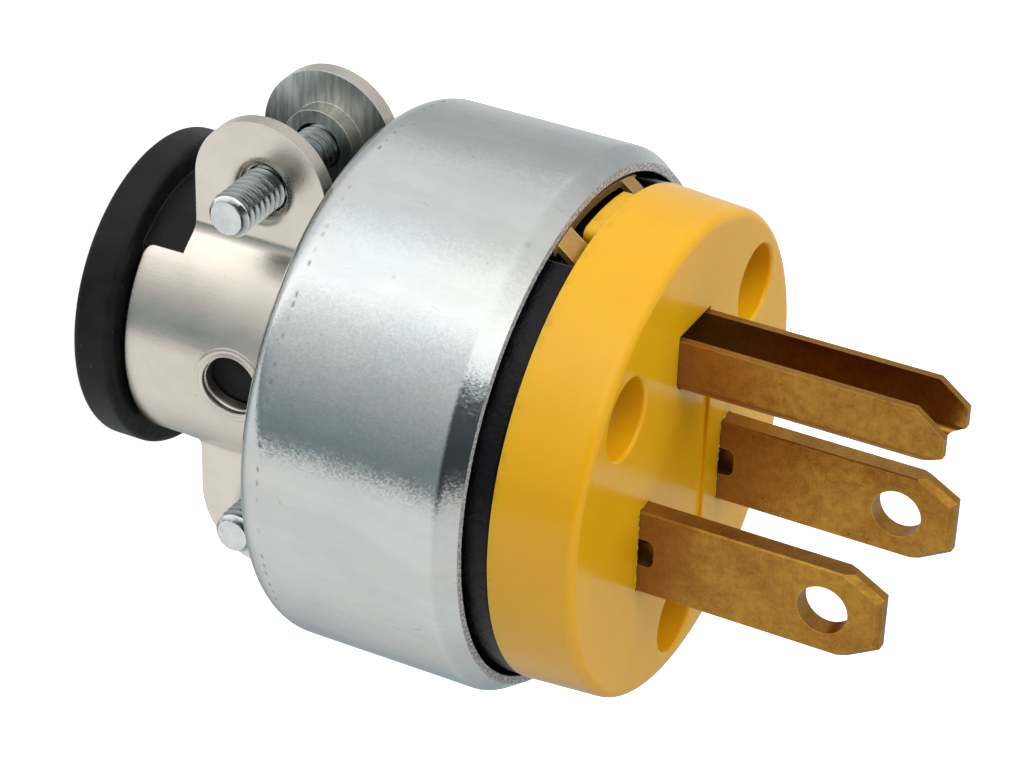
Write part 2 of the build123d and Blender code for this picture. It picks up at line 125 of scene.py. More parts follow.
class PlugSizes(bpy.types.PropertyGroup):
    """Sizes of the details that the solids leave plain."""

    casing_wall: millimetres("Casing wall", "Thickness of the drawn steel", 0.9)
    back_round: millimetres("Back round", "Radius of the casing's back corner", 2.2)
    rim_length: millimetres("Rim length", "Length over which the rim is drawn in", 1.7)
    rim_draw: millimetres("Rim draw", "Rim's outer edge inside the casing's wall", 0.9)
    rim_bend: millimetres("Rim bend", "Radius of the bend where the rim is drawn in", 1.2)
    rim_edge: millimetres("Rim edge", "Width of the rim's cut edge", 0.6)
    rim_tick: millimetres("Rim ticks", "Depth of the shear marks on the rim's edge", 0.015)
    opening_radius: millimetres("Opening", "Radius of the opening in the casing's back", 10.84)
    collar_radius: millimetres("Collar", "Outer radius of the drawn screw collars", 1.97)
    collar_hole: millimetres("Collar hole", "Radius of the hole in a collar", 1.45)
    collar_height: millimetres("Collar height", "Collars above the casing's floor", 1.1)
    edge_break: millimetres("Edge break", "Broken edge of the holes", 0.12)
    pit_count: IntProperty(
        name="Press marks", description="Press marks round the casing's back corner", default=120)
    pit_length: millimetres("Mark length", "Half length of a press mark", 0.19)
    pit_width: millimetres("Mark width", "Half width of a press mark", 0.09)
    pit_depth: millimetres("Mark depth", "Depth of a press mark", 0.025)
    ripple: millimetres("Ripple", "Unevenness that drawing leaves in the casing", 0.018)
    clamp_pitch: millimetres("Clamp thread", "Pitch of the clamp screws", 0.635)
    clamp_head: millimetres("Clamp head", "Height of a clamp screw's head", 2.0)
    clamp_shank: millimetres("Clamp shank", "Radius of a clamp screw", 1.58)
    assembly_pitch: millimetres("Assembly thread", "Pitch of the assembly screws", 0.635)
    assembly_head: millimetres("Assembly head", "Height of an assembly screw's head", 1.7)
    assembly_shank: millimetres("Assembly shank", "Radius of an assembly screw", 1.42)
    head_skirt: millimetres("Head skirt", "Straight side of a screw head", 0.7)
    driver_slot: millimetres("Driver slot", "Width of the slot in a screw head", 0.9)
    tip_chamfer: millimetres("Tip chamfer", "Chamfer at a screw's tip", 0.4)
    side_hole: millimetres("Side hole", "Radius of the hole in a clamp half's side", 2.2)
    side_hole_rise: millimetres("Side hole rise", "Side hole in front of the clamp screws", 0.4)
    clamp_radius: millimetres("Clamp tube", "Outer radius of the clamp's tube", 10.0)
    clamp_wall: millimetres("Clamp wall", "Thickness of the clamp's sheet", 1.2)
    lip_reach: millimetres("Lip reach", "Lip of a side hole beyond the hole", 0.66)
    lip_height: millimetres("Lip height", "Lip of a side hole above the tube", 0.05)
    lip_depth: millimetres("Lip depth", "Depth over which the lip turns in", 0.75)
    blade_width: millimetres("Blade width", "Flat blades where they leave the face", 6.35)
    blade_thickness: millimetres("Blade thickness", "Thickness of the flat blades", 1.5)
    flash_height: millimetres("Flash", "Height of the moulding flash round a slot", 0.09)
    flash_width: millimetres("Flash width", "Width of the moulding flash round a slot", 0.12)


class PlugColours(bpy.types.PropertyGroup):
    """Colours of the finishes and of the floor."""

    zinc: paint("Zinc", "Plated casing", (0.655, 0.675, 0.668))
    nickel: paint("Nickel", "Clamp halves", (0.75, 0.695, 0.615))
    screw_zinc: paint("Screw zinc", "Bluish plating of the screws", (0.72, 0.75, 0.745))
    brass: paint("Brass", "Clean brass", (0.46, 0.245, 0.042))
    tarnish: paint("Tarnish", "Brown tarnish on the brass", (0.26, 0.095, 0.017))
    strap: paint("Strap", "Paler brass of the ground strap", (0.86, 0.56, 0.25))
    yellow: paint("Yellow", "Moulded body", (0.835, 0.446, 0.0055))
    liner: paint("Liner", "Black liner", (0.004, 0.004, 0.005))
    rubber: paint("Rubber", "Cord bushing", (0.009, 0.009, 0.0095))
    green: paint("Ground green", "Ground terminal screw", (0.04, 0.26, 0.08))
    # Also the colour of the painted highlight on the black parts' edges
    dust: paint("Dust", "Pale dust and scuffs", (0.42, 0.40, 0.36))
    zinc_cool: paint("Cool zinc", "Cool tint on the casing", (0.54, 0.64, 0.65))
    zinc_warm: paint("Warm zinc", "Warm tint on the casing", (0.66, 0.66, 0.62))
    zinc_draw: paint("Drawn zinc", "Fine streaks from drawing the casing", (0.56, 0.58, 0.58))
    zinc_band: paint("Zinc bands", "Broad dull bands on the casing", (0.50, 0.52, 0.50))
    zinc_scratch: paint("Zinc scratches", "Brownish scratches on the casing", (0.40, 0.35, 0.29))
    zinc_stain: paint("Zinc stains", "Small stains on the casing", (0.34, 0.31, 0.28))
    rim_dark: paint("Rim, dark", "Torn part of the rim's cut edge", (0.32, 0.315, 0.32))
    rim_bright: paint("Rim, bright", "Sheared part of the rim's cut edge", (0.80, 0.80, 0.81))
    press_mark: paint("Press marks", "Bottom of the press marks", (0.20, 0.16, 0.12))
    nickel_speck: paint("Nickel specks", "Specks on the clamp", (0.30, 0.27, 0.24))
    # Painted shade on the clamp's inner faces, with lighter streaks in it
    nickel_inner_shade: paint("Nickel inside", "Dull inner faces of the clamp", (0.30, 0.37, 0.37))
    nickel_shade_streak: paint("Nickel streaks", "Streaks on the inner faces", (0.64, 0.70, 0.68))
    nickel_edge: paint("Nickel edges", "Worn edges of the clamp", (0.9, 0.87, 0.82))
    screw_speck: paint("Screw specks", "Specks on the screws", (0.24, 0.25, 0.25))
    # Painted shade in the thread's roots
    thread_root_shade: paint("Thread dirt", "Dirt in the thread's roots", (0.10, 0.13, 0.14))
    grime: paint("Grime", "Grime at the body's back edge", (0.24, 0.14, 0.015))
    body_dirt: paint("Body dirt", "Fine dirt on the body", (0.20, 0.10, 0.02))
    terminal_speck: paint("Terminal specks", "Specks on the terminal screws", (0.06, 0.06, 0.05))
    floor_low: paint("Floor", "Darker clouds of the floor", (0.80, 0.80, 0.80))
    floor_high: paint("Pale floor", "Paler clouds of the floor", (0.84, 0.84, 0.84))


class PlugStudio(bpy.types.PropertyGroup):
    """Camera and light."""

    eye: FloatVectorProperty(
        name="Eye", description="Camera's place", default=(-0.169148, 0.118939, 0.113100), size=3,
        subtype="TRANSLATION", unit="LENGTH")
    turn: FloatVectorProperty(
        name="Turn", description="Camera's rotation", size=3, subtype="EULER",
        default=(math.radians(-35.0633), math.radians(-62.2716), math.radians(3.6415)))
    lens: FloatProperty(
        name="Lens", description="Focal length on a 36 mm sensor", default=114.969, unit="CAMERA")
    floor_size: FloatProperty(
        name="Floor", description="Side of the floor", default=4.0, unit="LENGTH")
    floor_glow: FloatProperty(
        name="Floor glow", description="Light from under the pale floor", default=0.85)
    overhead: FloatProperty(
        name="Overhead", description="Level of the light above", default=0.58)
    key_level: FloatProperty(
        name="Key light", description="Level of the broad light on the ground pin's side", default=0.95)
    key_turn: FloatVectorProperty(
        name="Key turn", description="Rotation of the broad light", size=3, subtype="EULER",
        default=(math.radians(-58), 0.0, math.radians(8)))
    key_spread: FloatProperty(
        name="Key spread", description="Angle that the broad light covers", default=math.radians(50),
        unit="ROTATION")


def sizes():
    """Sizes in use."""
    return bpy.context.scene.plug_sizes


def colours():
    """Colours in use."""
    return bpy.context.scene.plug_colours


def opaque(colour):
    """Colour socket value from three channels."""
    return (*colour, 1.0)


def shaded(colour, factor):
    """Colour socket value of a colour made darker or lighter."""
    return opaque([min(1.0, factor * channel) for channel in colour])


class Shade:
    """Adds and joins shader nodes in one tree."""

    def __init__(self, tree):
        self.tree = tree

    def add(self, kind, inputs=None, **settings):
        """New node with its settings, and its inputs set to values or joined to other nodes' outputs."""
        node = self.tree.nodes.new(kind)
        for key, value in settings.items():
            setattr(node, key, value)
        for key, value in (inputs or {}).items():
            self.put(node.inputs[key], value)
        return node

    def put(self, socket, value):
        """Set a socket to a value, or join another node's output to it."""
        if isinstance(value, bpy.types.NodeSocket):
            self.tree.links.new(value, socket)
        else:
            socket.default_value = value

    def math(self, operation, first, second=0.0, clamp=False):
        """Result of a calculation with values."""
        node = self.add("ShaderNodeMath", {0: first, 1: second}, operation=operation, use_clamp=clamp)
        return node.outputs[0]

    def total(self, base, *parts):
        """A value plus shares of others, given as pairs of share and value."""
        for share, value in parts:
            node = self.add("ShaderNodeMath", {0: value, 1: share, 2: base}, operation="MULTIPLY_ADD")
            base = node.outputs[0]
        return base

    def mix(self, factor, first, second, share=1.0):
        """Mix of two colours, up to a share of the second."""
        if share != 1.0:
            factor = self.math("MULTIPLY", factor, share)
        inputs = {MIX_FACTOR: factor, MIX_FIRST: first, MIX_SECOND: second}
        node = self.add("ShaderNodeMix", inputs, data_type="RGBA", clamp_factor=True)
        return node.outputs[MIX_RESULT]

    def ramp(self, value, low, high, start=0.0, end=1.0):
        """Smooth step of a value from one range to another."""
        node = self.add("ShaderNodeMapRange", {"Value": value, "From Min": low, "From Max": high,
                                               "To Min": start, "To Max": end},
                        interpolation_type="SMOOTHSTEP")
        return node.outputs[0]

    def place(self):
        """Position on the part in millimetres."""
        where = self.add("ShaderNodeTexCoord").outputs["Object"]
        return self.stretch(where, [UNITS_PER_MM] * 3)

    def along(self, axis):
        """One coordinate on the part in millimetres."""
        return self.add("ShaderNodeSeparateXYZ", {0: self.place()}).outputs[axis]

    def normal(self):
        """Direction in which the surface faces."""
        return self.add("ShaderNodeNewGeometry").outputs["Normal"]

    def vector(self, operation, first, second=(0.0, 0.0, 0.0)):
        """Outputs of a calculation with vectors."""
        return self.add("ShaderNodeVectorMath", {0: first, 1: second}, operation=operation).outputs

    def stretch(self, vector, factors):
        """Vector with each coordinate multiplied."""
        return self.vector("MULTIPLY", vector, factors)["Vector"]

    def noise(self, vector, scale, detail=3.0, roughness=0.55):
        """Cloudy value from 0 to 1."""
        node = self.add("ShaderNodeTexNoise", {"Vector": vector, "Scale": scale, "Detail": detail,
                                               "Roughness": roughness})
        return node.outputs["Fac"]

    def painted(self, name):
        """Value painted on the mesh."""
        return self.add("ShaderNodeAttribute", attribute_name=name).outputs["Fac"]

    def group(self, name, **inputs):
        """Outputs of one of the effects, its inputs given by their names in lower case."""
        node = self.add("ShaderNodeGroup", node_tree=bpy.data.node_groups[name])
        for key, value in inputs.items():
            self.put(node.inputs[key.capitalize()], value)
        return node.outputs

    def bump(self, height, distance, normal=None):
        """Normal that follows a height."""
        inputs = {"Height": height, "Distance": distance}
        if normal is not None:
            inputs["Normal"] = normal
        return self.add("ShaderNodeBump", inputs).outputs[0]


def new_group(name, inputs, outputs):
    """Empty shader node group; returns its tree helper, input sockets and output sockets."""
    tree = bpy.data.node_groups.new(name, "ShaderNodeTree")
    for label, value in inputs:
        kind = "NodeSocketVector" if isinstance(value, tuple) else "NodeSocketFloat"
        socket = tree.interface.new_socket(label, in_out="INPUT", socket_type=kind)
        socket.default_value = value
    for label in outputs:
        tree.interface.new_socket(label, in_out="OUTPUT", socket_type="NodeSocketFloat")
    shade = Shade(tree)
    return shade, shade.add("NodeGroupInput").outputs, shade.add("NodeGroupOutput").inputs


def mottle_group():
    """Cloudy patches at one scale, as a height and as a mask between two levels."""
    shade, given, out = new_group(
        "Mottle", [("Scale", 1.0), ("Stretch", (1.0, 1.0, 1.0)), ("Low", 0.35), ("High", 0.65)],
        ["Mask", "Height"])
    where = shade.stretch(shade.place(), given["Stretch"])
    cloud = shade.noise(where, given["Scale"], detail=4.0, roughness=0.6)
    shade.put(out["Height"], cloud)
    shade.put(out["Mask"], shade.ramp(cloud, given["Low"], given["High"]))


def scratch_group():
    """Fine broken scratches in two directions."""
    shade, given, out = new_group("Scratches", [("Width", 0.005), ("Kept", 0.62)], ["Mask"])
    place = shade.place()
    total = 0.0
    for turn, factors in SCRATCH_SETS:
        inputs = {"Vector": place, "Angle": turn}
        turned = shade.add("ShaderNodeVectorRotate", inputs, rotation_type="AXIS_ANGLE").outputs[0]
        line = shade.noise(shade.stretch(turned, factors), scale=1.1, detail=0.0)
        near = shade.math("ABSOLUTE", shade.math("SUBTRACT", line, 0.5))
        thin = shade.math("SUBTRACT", 1.0, shade.math("DIVIDE", near, given["Width"]), clamp=True)
        gaps = shade.noise(place, scale=0.5 + turn * 0.2, detail=2.0)
        past = shade.math("SUBTRACT", gaps, given["Kept"])
        kept = shade.ramp(past, low=-0.04, high=0.04)
        total = shade.math("MAXIMUM", shade.math("MULTIPLY", thin, kept), total)
    shade.put(out["Mask"], total)


def edge_group():
    """Edges broken up by noise, for worn edges on the metals and for a painted highlight on the black parts.
    """
    shade, given, out = new_group("Edge wear and highlight", [("Radius", 0.0002), ("Breakup", 1.5)], ["Mask"])
    soft = shade.add("ShaderNodeBevel", {"Radius": given["Radius"]}, samples=4).outputs[0]
    match = shade.vector("DOT_PRODUCT", soft, shade.normal())["Value"]
    edge = shade.ramp(shade.math("SUBTRACT", 1.0, match), low=0.02, high=0.2)
    cloud = shade.noise(shade.place(), given["Breakup"], detail=4.0)
    broken = shade.ramp(cloud, low=0.3, high=0.55, start=0.35)
    shade.put(out["Mask"], shade.math("MULTIPLY", edge, broken))


def speck_group():
    """Scattered small specks of uneven size."""
    shade, given, out = new_group("Specks", [("Scale", 1.0), ("Size", 0.2), ("Share", 0.3)], ["Mask"])
    cells = shade.add("ShaderNodeTexVoronoi", {"Vector": shade.place(), "Scale": given["Scale"]})
    tint = shade.add("ShaderNodeSeparateColor", {0: cells.outputs["Color"]}).outputs
    chosen = shade.math("LESS_THAN", tint[0], given["Share"])
    limit = shade.math("MULTIPLY", given["Size"], shade.math("ADD", tint[1], 0.2))
    inside = shade.math("SUBTRACT", limit, cells.outputs["Distance"])
    soft = shade.math("DIVIDE", inside, given["Size"], clamp=True)
    shade.put(out["Mask"], shade.math("MULTIPLY", chosen, shade.math("MULTIPLY", soft, 4.0, clamp=True)))


def new_material(name):
    """Material with a Principled shader; returns it, its tree helper and the shader's inputs."""
    material = bpy.data.materials.new(name)
    material.use_nodes = True
    material.node_tree.nodes.clear()
    shade = Shade(material.node_tree)
    shader = shade.add("ShaderNodeBsdfPrincipled")
    output = shade.add("ShaderNodeOutputMaterial")
    material.node_tree.links.new(shader.outputs[0], output.inputs["Surface"])
    return material, shade, shader.inputs


def zinc_finish():
    """Bright zinc on drawn steel: crystals, tints, bands, scratches, brown press marks, dull cut edge."""
    material, shade, skin = new_material("zinc_casing")
    tone = colours()
    clouds = shade.group("Mottle", scale=0.2, low=0.3, high=0.7)["Mask"]
    draw = shade.group("Mottle", scale=2.5, stretch=(1.0, 1.0, 0.06), low=0.3, high=0.7)["Mask"]
    peel = shade.group("Mottle", scale=6.5)["Height"]
    crystals = shade.add("ShaderNodeTexVoronoi", {"Vector": shade.place(), "Scale": 6.5}).outputs["Color"]
    tilt = shade.vector("SUBTRACT", crystals, (0.5, 0.5, 0.5))["Vector"]
    tilt = shade.stretch(tilt, [SPANGLE_LEAN] * 3)
    tilted = shade.vector("ADD", shade.normal(), tilt)["Vector"]
    tilted = shade.vector("NORMALIZE", tilted)["Vector"]
    scratches = shade.group("Scratches")["Mask"]
    stains = shade.group("Specks", scale=0.5, size=0.14, share=0.3)["Mask"]
    pits = shade.painted("pit")
    rim = shade.painted("rim")
    tint = shade.noise(shade.stretch(shade.place(), (1.0, 1.0, 0.7)), scale=0.14, detail=2.0)
    colour = shade.mix(clouds, shaded(tone.zinc, 0.92), opaque(tone.zinc))
    colour = shade.mix(shade.ramp(tint, low=0.5, high=0.66), colour, opaque(tone.zinc_cool), share=0.5)
    colour = shade.mix(shade.ramp(tint, low=0.48, high=0.34), colour, opaque(tone.zinc_warm), share=0.5)
    colour = shade.mix(draw, colour, opaque(tone.zinc_draw), share=0.12)
    bands = shade.group("Mottle", scale=0.45, stretch=(1.0, 1.0, 0.3), low=0.42, high=0.62)["Mask"]
    colour = shade.mix(bands, colour, opaque(tone.zinc_band), share=0.22)
    colour = shade.mix(scratches, colour, opaque(tone.zinc_scratch), share=0.4)
    colour = shade.mix(stains, colour, opaque(tone.zinc_stain), share=0.3)
    ticks = shade.group("Mottle", scale=5.0, low=0.42, high=0.62)["Mask"]
    sheared = shade.mix(ticks, opaque(tone.rim_dark), opaque(tone.rim_bright))
    colour = shade.mix(rim, colour, sheared)
    shade.put(skin["Base Color"], shade.mix(pits, colour, opaque(tone.press_mark), share=0.75))
    shade.put(skin["Metallic"], shade.total(1.0, (-0.8, rim)))
    shade.put(skin["Roughness"], shade.total(0.13, (0.05, clouds), (0.1, scratches), (0.3, pits), (0.4, rim)))
    height = shade.total(peel, (0.05, draw), (-0.15, scratches))
    shade.put(skin["Normal"], shade.bump(height, distance=0.007 * MM, normal=tilted))
    return material


def nickel_finish():
    """Nickel on the stamped clamp: satin tube, polished ears, painted shade with streaks on the inner faces
    and bright edges.
    """
    material, shade, skin = new_material("clamp_nickel")
    tone = colours()
    ear = shade.ramp(shade.math("ABSOLUTE", shade.along("X")), EAR_FROM, EAR_TO)
    facing = shade.add("ShaderNodeSeparateXYZ", {0: shade.normal()}).outputs["X"]
    inner = shade.ramp(shade.math("MULTIPLY", facing, shade.along("X")), INNER_FROM, INNER_TO)
    dull = shade.ramp(shade.along("Z"), DULL_FROM, DULL_TO)
    clouds = shade.group("Mottle", scale=0.25, low=0.3, high=0.7)["Mask"]
    brushed = shade.group("Mottle", scale=4.0, stretch=(1.0, 1.0, 0.1))["Height"]
    sparkle = shade.group("Mottle", scale=7.0)["Height"]
    specks = shade.group("Specks", scale=1.2, size=0.1, share=0.2)["Mask"]
    edges = shade.group("Edge wear and highlight", radius=0.14 * MM, breakup=1.2)["Mask"]
    colour = shade.mix(clouds, shaded(tone.nickel, 0.9), opaque(tone.nickel))
    colour = shade.mix(specks, colour, opaque(tone.nickel_speck), share=0.4)
    # Inner faces: painted shade, with lighter streaks in it
    streaks = shade.group("Mottle", scale=2.6, stretch=(1.0, 0.12, 1.0), low=0.35, high=0.65)["Mask"]
    shadowed = shade.mix(streaks, opaque(tone.nickel_inner_shade), opaque(tone.nickel_shade_streak))
    colour = shade.mix(inner, colour, shadowed, share=0.8)
    shade.put(skin["Base Color"], shade.mix(edges, colour, opaque(tone.nickel_edge), share=0.7))
    skin["Metallic"].default_value = 1.0
    rough = shade.total(0.22, (-0.1, ear), (0.05, clouds), (0.12, dull), (0.15, inner))
    shade.put(skin["Roughness"], rough)
    height = shade.total(shade.math("MULTIPLY", sparkle, 1.4), (0.5, brushed))
    rounded = shade.add("ShaderNodeBevel", {"Radius": 0.1 * MM}, samples=4).outputs[0]
    shade.put(skin["Normal"], shade.bump(height, distance=0.006 * MM, normal=rounded))
    return material


def screw_finish():
    """Bluish zinc on the screws, rougher and with painted shade in the thread's roots."""
    material, shade, skin = new_material("screw_zinc")
    tone = colours()
    clouds = shade.group("Mottle", scale=0.8)["Mask"]
    grain = shade.group("Mottle", scale=9.0)["Height"]
    specks = shade.group("Specks", scale=2.4, size=0.2, share=0.2)["Mask"]
    root = shade.painted("root")
    colour = shade.mix(clouds, shaded(tone.screw_zinc, 0.85), opaque(tone.screw_zinc))
    colour = shade.mix(specks, colour, opaque(tone.screw_speck), share=0.5)
    # Painted shade in the thread's roots, by the depth painted on the mesh
    shade.put(skin["Base Color"], shade.mix(root, colour, opaque(tone.thread_root_shade), share=0.8))
    skin["Metallic"].default_value = 1.0
    shade.put(skin["Roughness"], shade.total(0.09, (0.07, clouds), (0.2, specks), (0.1, root)))
    shade.put(skin["Normal"], shade.bump(grain, distance=0.008 * MM))
    return material


def brass_finish(name, clean, brown, streak, rough):
    """Brass with fine brown mottling, darker towards the face, faint rolling streaks and brighter edges."""
    material, shade, skin = new_material(name)
    clouds = shade.group("Mottle", scale=0.3, low=0.35, high=0.7)["Mask"]
    blotch = shade.group("Mottle", scale=1.4, low=0.35, high=0.7)["Mask"]
    grain = shade.group("Mottle", scale=4.5, low=0.35, high=0.65)
    rolled = shade.group("Mottle", scale=5.0, stretch=streak, low=0.3, high=0.7)["Mask"]
    specks = shade.group("Specks", scale=1.3, size=0.15, share=0.25)["Mask"]
    edges = shade.group("Edge wear and highlight", radius=0.14 * MM, breakup=1.6)["Mask"]
    foot = shade.ramp(shade.along("Z"), FOOT_FROM, FOOT_TO)
    colour = shade.mix(clouds, opaque(clean), opaque(brown), share=0.6)
    colour = shade.mix(blotch, colour, opaque(brown), share=0.4)
    colour = shade.mix(grain["Mask"], colour, shaded(clean, 1.2), share=0.3)
    colour = shade.mix(rolled, colour, shaded(brown, 0.8), share=0.15)
    colour = shade.mix(foot, colour, shaded(brown, 0.85), share=0.6)
    colour = shade.mix(specks, colour, shaded(brown, 0.3), share=0.5)
    shade.put(skin["Base Color"], shade.mix(edges, colour, shaded(clean, 1.6), share=0.8))
    shade.put(skin["Metallic"], shade.total(1.0, (-0.3, foot)))
    shade.put(skin["Roughness"], shade.total(rough, (0.1, blotch), (-0.1, edges)))
    height = shade.total(grain["Height"], (0.5, blotch))
    shade.put(skin["Normal"], shade.bump(height, distance=0.014 * MM))
    return material


def yellow_finish():
    """Glossy moulded thermoset: faint flow clouds, grime at the back edge, fine dirt and an uneven gloss."""
    material, shade, skin = new_material("yellow_body")
    tone = colours()
    flow = shade.group("Mottle", scale=0.12, low=0.3, high=0.7)["Mask"]
    peel = shade.group("Mottle", scale=0.6)["Height"]
    dirt = shade.group("Specks", scale=0.5, size=0.08, share=0.25)["Mask"]
    deep = opaque([channel * tint for channel, tint in zip(tone.yellow, DEEP_TINT)])
    colour = shade.mix(flow, deep, opaque(tone.yellow))
    grime = shade.group("Mottle", scale=0.55, low=0.5, high=0.7)["Mask"]
    grime = shade.math("MULTIPLY", grime, shade.ramp(shade.along("Z"), GRIME_FROM, GRIME_TO))
    colour = shade.mix(grime, colour, opaque(tone.grime), share=0.35)
    shade.put(skin["Base Color"], shade.mix(dirt, colour, opaque(tone.body_dirt), share=0.5))
    shade.put(skin["Roughness"], shade.total(0.2, (0.06, flow)))
    skin["IOR"].default_value = 1.45
    skin["Subsurface Weight"].default_value = 0.4
    skin["Subsurface Radius"].default_value = (1.0, 0.3, 0.05)
    skin["Subsurface Scale"].default_value = 1.5 * MM
    shade.put(skin["Normal"], shade.bump(peel, distance=0.012 * MM))
    return material


def black_finish(name, base, rough, shine, grain_depth, dust_share):
    """Black moulding: fine grain, shallow waves, uneven gloss, pale dust, faint scuffs and a painted highlight
    on the edges.
    """
    material, shade, skin = new_material(name)
    tone = colours()
    clouds = shade.group("Mottle", scale=0.35, low=0.4, high=0.7)["Mask"]
    grain = shade.group("Mottle", scale=4.0)["Height"]
    dust = shade.group("Specks", scale=1.4, size=0.09, share=dust_share)["Mask"]
    scuffs = shade.group("Mottle", scale=1.6, stretch=(1.0, 1.0, 0.15), low=0.6, high=0.8)["Mask"]
    colour = shade.mix(clouds, opaque(base), shaded(base, 1.6))
    waves = shade.group("Mottle", scale=0.7)["Height"]
    edges = shade.group("Edge wear and highlight", radius=0.2 * MM, breakup=0.8)["Mask"]
    colour = shade.mix(scuffs, colour, opaque(tone.dust), share=0.012)
    # Painted highlight: the edges turn grey in the dust colour
    colour = shade.mix(edges, colour, opaque(tone.dust), share=0.15)
    shade.put(skin["Base Color"], shade.mix(dust, colour, opaque(tone.dust), share=0.2))
    shade.put(skin["Roughness"], shade.total(rough, (0.12, clouds)))
    skin["Specular IOR Level"].default_value = shine
    shade.put(skin["Normal"], shade.bump(shade.total(grain, (4.0, waves)), grain_depth))
    return material


def terminal_finish(name, base):
    """Plated terminal screw: clouded plating with specks."""
    material, shade, skin = new_material(name)
    clouds = shade.group("Mottle", scale=0.6)["Mask"]
    specks = shade.group("Specks", scale=2.0, size=0.2, share=0.2)["Mask"]
    grain = shade.group("Mottle", scale=8.0)["Height"]
    colour = shade.mix(clouds, shaded(base, 0.75), opaque(base))
    shade.put(skin["Base Color"], shade.mix(specks, colour, opaque(colours().terminal_speck), share=0.6))
    skin["Metallic"].default_value = 1.0
    shade.put(skin["Roughness"], shade.total(0.25, (0.1, clouds)))
    shade.put(skin["Normal"], shade.bump(grain, distance=0.005 * MM))
    return material


def dress(names, material):
    """Give a finish to carried-over solids."""
    for name in names:
        mesh = nodes[name].data
        mesh.materials.clear()
        mesh.materials.append(material)


def new_object(name, data):
    """Object for a mesh, a light or a camera, linked to the scene."""
    made = bpy.data.objects.new(name, data)
    bpy.context.scene.collection.objects.link(made)
    return made


def add_piece(name, mesh, material, replaced=()):
    """Add a new mesh as a piece of the plug."""
    mesh.materials.append(material)
    piece = new_object(name, mesh)
    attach(piece, "root")
    if replaced:
        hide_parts(*replaced)


def weld(bm):
    """Join vertices that share a place and drop the faces that this flattens."""
    bmesh.ops.remove_doubles(bm, verts=bm.verts, dist=0.0005 * MM)
    bmesh.ops.dissolve_degenerate(bm, edges=bm.edges, dist=0.0002 * MM)


def finish_mesh(name, bm, sharp_angle):
    """Mesh from a bmesh: outward normals, smooth faces and sharp edges past an angle."""
    weld(bm)
    bmesh.ops.recalc_face_normals(bm, faces=bm.faces)
    for face in bm.faces:
        face.smooth = True
    for edge in bm.edges:
        edge.smooth = len(edge.link_faces) == 2 and edge.calc_face_angle() < sharp_angle
    mesh = bpy.data.meshes.new(name)
    bm.to_mesh(mesh)
    bm.free()
    return mesh


def arc(centre, radius, start, end, steps):
    """Points of an arc in (radius, height), between two angles in degrees."""
    for step in range(steps + 1):
        angle = math.radians(start + (end - start) * step / steps)
        yield centre[0] + radius * math.cos(angle), centre[1] + radius * math.sin(angle)


def ring(bm, radius, height, count, centre=(0.0, 0.0)):
    """Closed ring of vertices about an upright axis."""
    points = []
    for i in range(count):
        turn = FULL_TURN * i / count
        at = (centre[0] + radius * math.cos(turn), centre[1] + radius * math.sin(turn), height)
        points.append(bm.verts.new(at))
    return points


def join_rings(bm, rings):
    """Faces between rings of the same count, one to the next."""
    for lower, upper in zip(rings, rings[1:]):
        for i in range(len(lower)):
            following = (i + 1) % len(lower)
            bm.faces.new((lower[i], lower[following], upper[following], upper[i]))


def fill_between(bm, rings):
    """Flat face between an outer ring and the rings inside it."""
    edges = []
    for points in rings:
        for i, point in enumerate(points):
            following = points[(i + 1) % len(points)]
            edges.append(bm.edges.get((point, following)) or bm.edges.new((point, following)))
    bmesh.ops.triangle_fill(bm, use_beauty=True, use_dissolve=False, edges=edges)


